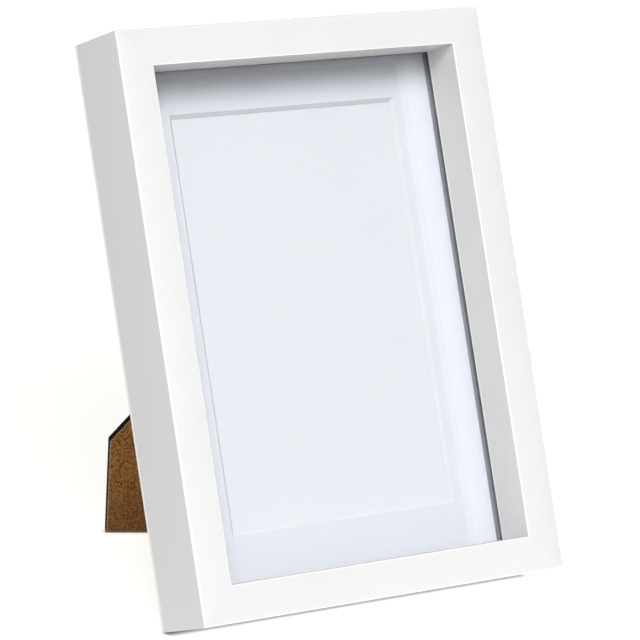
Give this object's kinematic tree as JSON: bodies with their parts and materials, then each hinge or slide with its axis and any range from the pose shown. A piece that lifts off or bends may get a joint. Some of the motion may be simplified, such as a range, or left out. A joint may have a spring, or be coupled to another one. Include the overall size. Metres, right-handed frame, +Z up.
{
  "type": "shadow box photo frame",
  "caption": "Deep white tabletop photo frame in a shadow box moulding, with a mat behind recessed glass and a folding two-way easel leg.",
  "frame": {"origin": "centre of the bounding box on the table plane the frame stands on", "axes": "+Z up, +X to the frame's right as seen from the front, +Y rearwards from the picture to the leg"},
  "size_m": [0.142, 0.1266, 0.1899],
  "materials": {
    "white_foil": "MDF moulding wrapped in white satin foil",
    "nail_steel": "bare spring steel",
    "clear_glass": "clear float glass",
    "spacer_card": "grey card strip",
    "mat_card": "cool white mat board, white core",
    "insert_paper": "blank white sheet",
    "backing_hardboard": "hardboard with a black paper back",
    "leg_hardboard": "raw brown hardboard in front, black paper behind, black edges",
    "tab_steel": "black oxide spring steel",
    "hinge_steel": "zinc plated",
    "rivet_brass": "brass plated",
    "hanger_steel": "nickel plated"
  },
  "bodies": {
    "frame": {"bottom_rail": "white_foil", "left_stile": "white_foil", "top_rail": "white_foil", "right_stile": "white_foil", "corner_v_nails": "nail_steel", "glass_pane": "clear_glass", "spacer_top": "spacer_card", "spacer_bottom": "spacer_card", "spacer_left": "spacer_card", "spacer_right": "spacer_card", "mat_board": "mat_card", "insert_sheet": "insert_paper", "backing_board": "backing_hardboard", "tab_shanks": "tab_steel", "hinge_leaf_fixed": "hinge_steel", "hinge_pin": "hinge_steel", "hinge_rivets_fixed": "rivet_brass", "hanger_strap_portrait": "hanger_steel", "hanger_strap_landscape": "hanger_steel", "hanger_rivets": "rivet_brass"},
    "easel_leg": {"leg_strut": "leg_hardboard", "hinge_leaf_leg": "hinge_steel", "hinge_rivets_leg": "rivet_brass"},
    "ring_portrait": {"hanger_ring_portrait": "hanger_steel"},
    "ring_landscape": {"hanger_ring_landscape": "hanger_steel"},
    "tab_left_lower": {"tab_left_lower": "tab_steel"},
    "tab_left_upper": {"tab_left_upper": "tab_steel"},
    "tab_right_lower": {"tab_right_lower": "tab_steel"},
    "tab_right_upper": {"tab_right_upper": "tab_steel"},
    "tab_top": {"tab_top": "tab_steel"},
    "tab_bottom": {"tab_bottom": "tab_steel"}
  },
  "joints": [
    {"name": "easel_leg_hinge", "type": "hinge", "parent": "frame", "child": "easel_leg", "pos_m": [0.0382, 0.00398, 0.11524], "axis": [0.7638, -0.2295, -0.6033], "range_deg": [-40, 0]},
    {"name": "tab_left_lower_bend", "type": "hinge", "parent": "frame", "child": "tab_left_lower", "pos_m": [-0.064, -0.00996, 0.08352], "axis": [0, 0.3556, 0.9346], "range_deg": [0, 80]},
    {"name": "tab_left_upper_bend", "type": "hinge", "parent": "frame", "child": "tab_left_upper", "pos_m": [-0.064, 0.01209, 0.14147], "axis": [0, 0.3556, 0.9346], "range_deg": [0, 80]},
    {"name": "tab_right_lower_bend", "type": "hinge", "parent": "frame", "child": "tab_right_lower", "pos_m": [0.064, -0.02525, 0.04333], "axis": [0, -0.3556, -0.9346], "range_deg": [0, 80]},
    {"name": "tab_right_upper_bend", "type": "hinge", "parent": "frame", "child": "tab_right_upper", "pos_m": [0.064, 0.01209, 0.14147], "axis": [0, -0.3556, -0.9346], "range_deg": [0, 80]},
    {"name": "tab_top_bend", "type": "hinge", "parent": "frame", "child": "tab_top", "pos_m": [-0.031, 0.02489, 0.17511], "axis": [1, 0, 0], "range_deg": [0, 80]},
    {"name": "tab_bottom_bend", "type": "hinge", "parent": "frame", "child": "tab_bottom", "pos_m": [0.029, -0.03876, 0.00782], "axis": [-1, 0, 0], "range_deg": [0, 80]},
    {"name": "ring_portrait_swing", "type": "hinge", "parent": "frame", "child": "ring_portrait", "pos_m": [0, 0.02104, 0.1616], "axis": [-1, 0, 0], "range_deg": [-158, 8]},
    {"name": "ring_landscape_swing", "type": "hinge", "parent": "frame", "child": "ring_landscape", "pos_m": [0.0505, -0.00884, 0.08309], "axis": [0, 0.3556, 0.9346], "range_deg": [-88, 70]}
  ]
}
